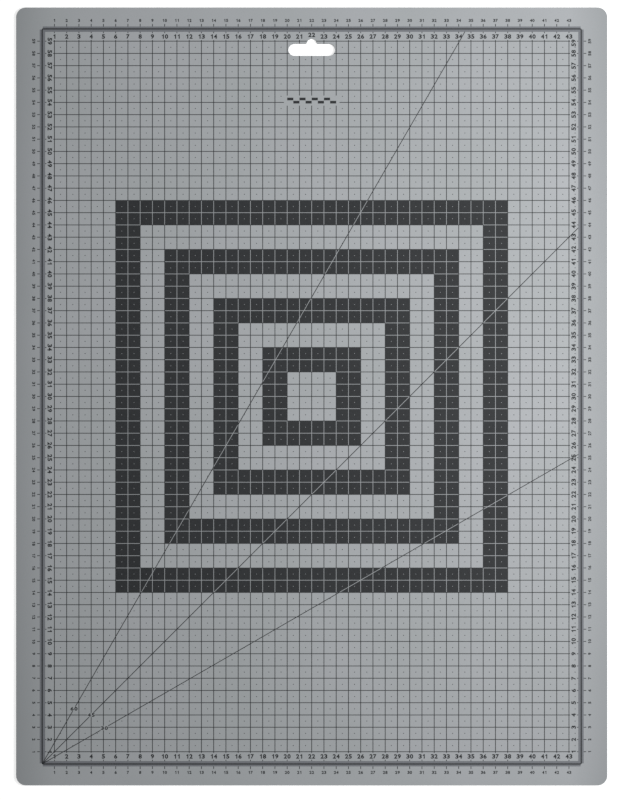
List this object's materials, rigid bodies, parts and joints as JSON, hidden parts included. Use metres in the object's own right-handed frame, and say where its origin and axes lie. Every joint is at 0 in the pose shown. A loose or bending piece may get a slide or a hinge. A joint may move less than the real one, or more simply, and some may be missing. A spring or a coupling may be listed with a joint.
{
  "type": "self-healing cutting mat",
  "caption": "Flat rounded rectangular cutting mat, laminated from soft and stiff plies, with a hanging slot and a printed centimetre grid, rulers, angle lines and square rings.",
  "frame": {"origin": "centre of the underside, where the mat lies on the table", "axes": "+Z out of the printed face, +Y along the mat's length towards the hanging slot, +X across it to the right"},
  "size_m": [0.4826, 0.635, 0.0031],
  "materials": {
    "grey_pvc": "soft grey PVC with a fine pebbled matt surface",
    "dark_pvc": "dark grey PVC ply, cut edge matt",
    "core_pvc": "stiff pale PVC core, cut edge slightly shiny",
    "black_ink": "matt black screen-print ink",
    "grey_ink": "matt grey screen-print ink"
  },
  "bodies": {
    "root": {"angle_labels": "black_ink", "angle_line_30": "black_ink", "angle_line_45": "black_ink", "angle_line_60": "black_ink", "bottom_healing_sheet": "grey_pvc", "bottom_inner_numerals": "black_ink", "bottom_outer_numerals": "black_ink", "check_bar": "black_ink", "frame_inner_band": "grey_ink", "frame_line": "black_ink", "frame_outer_bands": "grey_ink", "horizontal_grid_lines": "black_ink", "inner_tick_marks": "black_ink", "left_inner_numerals": "black_ink", "left_outer_numerals": "black_ink", "lower_backing_ply": "dark_pvc", "outer_tick_marks": "black_ink", "right_inner_numerals": "black_ink", "right_outer_numerals": "black_ink", "rigid_core_sheet": "core_pvc", "square_ring_1": "black_ink", "square_ring_2": "black_ink", "square_ring_3": "black_ink", "square_ring_4": "black_ink", "top_healing_sheet": "grey_pvc", "top_inner_numerals": "black_ink", "top_outer_numerals": "black_ink", "upper_backing_ply": "dark_pvc", "vertical_grid_lines": "black_ink"}
  },
  "joints": []
}
